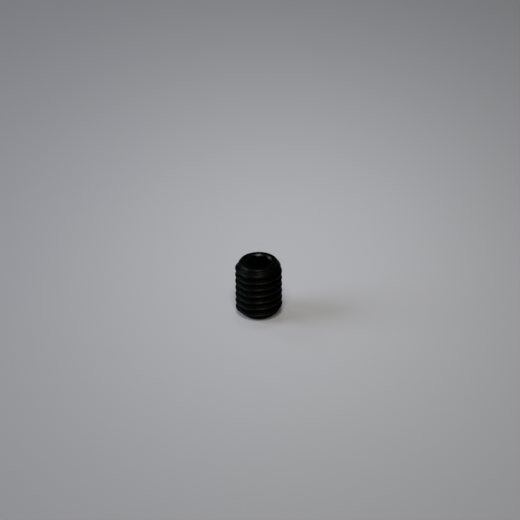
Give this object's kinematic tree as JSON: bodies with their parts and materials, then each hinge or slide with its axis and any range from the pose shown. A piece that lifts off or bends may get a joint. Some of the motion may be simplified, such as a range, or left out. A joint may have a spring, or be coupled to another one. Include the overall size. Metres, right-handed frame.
{
  "type": "hex socket set screw",
  "caption": "Headless black steel set screw with a full-length coarse thread, a hexagon key socket in one end and a chamfered flat point at the other, for locking a hub to a shaft.",
  "frame": {"origin": "centre of the point's flat, on the surface that the screw stands on", "axes": "+Z along the screw's axis from the point to the socket end; -Y faces the picture's viewer and +X is the viewer's right"},
  "size_m": [0.008, 0.008, 0.01],
  "materials": {
    "black_steel": "black oxide on alloy steel, satin and lightly oiled"
  },
  "bodies": {
    "root": {"set_screw": "black_steel"}
  },
  "joints": []
}
